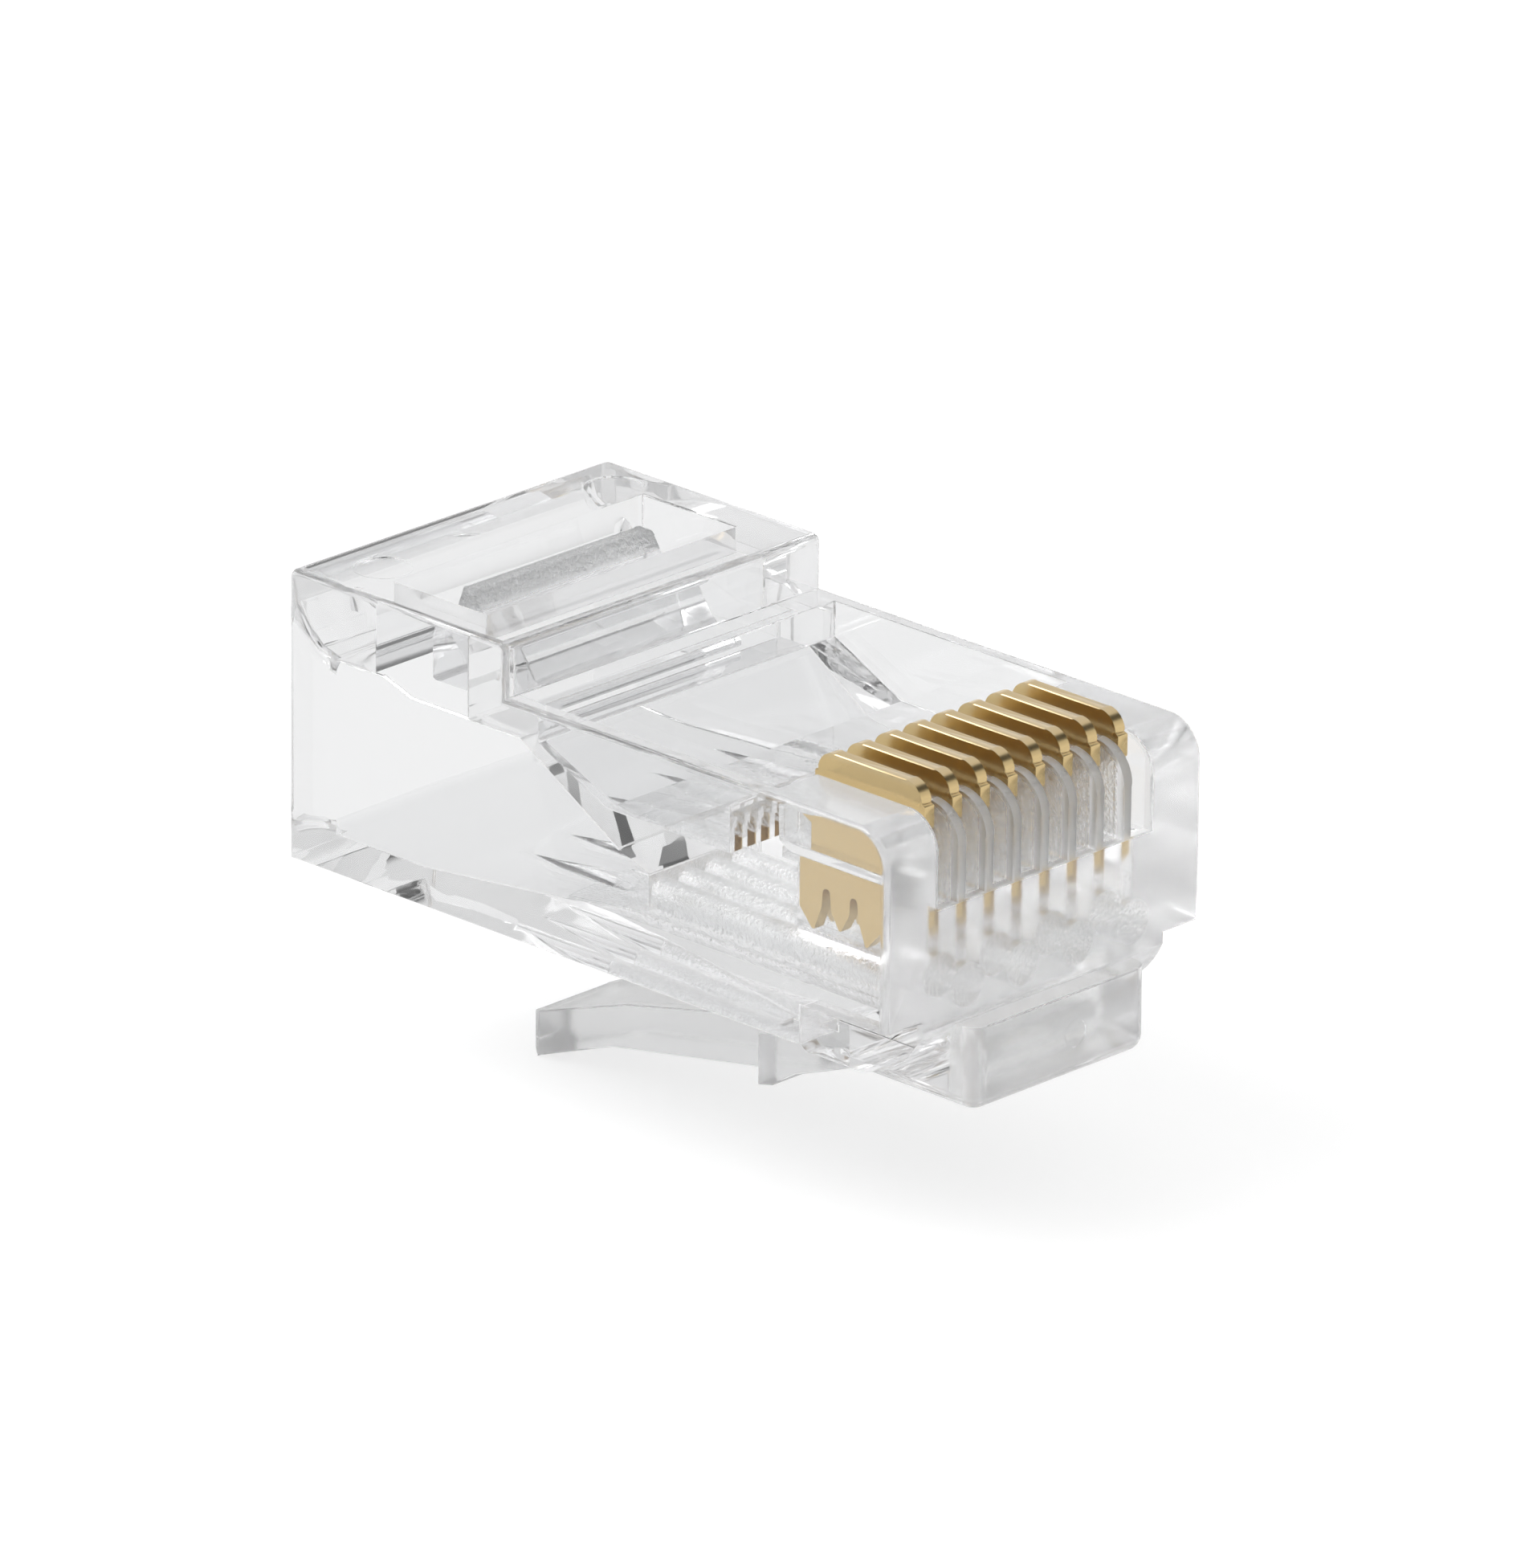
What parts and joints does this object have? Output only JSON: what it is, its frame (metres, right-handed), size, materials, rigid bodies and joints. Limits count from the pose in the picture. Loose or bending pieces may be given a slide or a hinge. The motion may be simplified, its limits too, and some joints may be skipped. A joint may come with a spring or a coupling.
{
  "type": "rj45 modular plug",
  "caption": "Clear eight-way modular plug before crimping: stepped housing with a flared cable mouth, jacket clamp, sprung latch lever and a row of gold blade contacts.",
  "frame": {"origin": "centre of the mating face, on the plane of the body's underside", "axes": "+X forward into the jack, +Y across the contact row, +Z from the lever side to the contact side"},
  "size_m": [0.0222, 0.0116, 0.0133],
  "materials": {
    "clear_polycarbonate": "clear moulded polycarbonate, polished, matte in the wire channels",
    "gold_plated_bronze": "gold flash over phosphor bronze, smooth"
  },
  "bodies": {
    "body": {"housing": "clear_polycarbonate"},
    "lever": {"latch_lever": "clear_polycarbonate"},
    "clamp": {"jacket_clamp": "clear_polycarbonate"},
    "blade_1": {"contact_1": "gold_plated_bronze"},
    "blade_2": {"contact_2": "gold_plated_bronze"},
    "blade_3": {"contact_3": "gold_plated_bronze"},
    "blade_4": {"contact_4": "gold_plated_bronze"},
    "blade_5": {"contact_5": "gold_plated_bronze"},
    "blade_6": {"contact_6": "gold_plated_bronze"},
    "blade_7": {"contact_7": "gold_plated_bronze"},
    "blade_8": {"contact_8": "gold_plated_bronze"}
  },
  "joints": [
    {"name": "latch_press", "type": "hinge", "parent": "body", "child": "lever", "pos_m": [-0.00336, 0, -0.00113], "axis": [0, 1, 0], "range_deg": [0, 14], "stiffness_Nm_per_rad": 0.12},
    {"name": "clamp_fold", "type": "hinge", "parent": "body", "child": "clamp", "pos_m": [-0.01566, 0, 0.00552], "axis": [0, 1, 0], "range_deg": [-38, 0]},
    {"name": "crimp_1", "type": "slide", "parent": "body", "child": "blade_1", "axis": [0, 0, 1], "range_m": [-0.00108, 0]},
    {"name": "crimp_2", "type": "slide", "parent": "body", "child": "blade_2", "axis": [0, 0, 1], "range_m": [-0.00108, 0]},
    {"name": "crimp_3", "type": "slide", "parent": "body", "child": "blade_3", "axis": [0, 0, 1], "range_m": [-0.00108, 0]},
    {"name": "crimp_4", "type": "slide", "parent": "body", "child": "blade_4", "axis": [0, 0, 1], "range_m": [-0.00108, 0]},
    {"name": "crimp_5", "type": "slide", "parent": "body", "child": "blade_5", "axis": [0, 0, 1], "range_m": [-0.00108, 0]},
    {"name": "crimp_6", "type": "slide", "parent": "body", "child": "blade_6", "axis": [0, 0, 1], "range_m": [-0.00108, 0]},
    {"name": "crimp_7", "type": "slide", "parent": "body", "child": "blade_7", "axis": [0, 0, 1], "range_m": [-0.00108, 0]},
    {"name": "crimp_8", "type": "slide", "parent": "body", "child": "blade_8", "axis": [0, 0, 1], "range_m": [-0.00108, 0]}
  ]
}
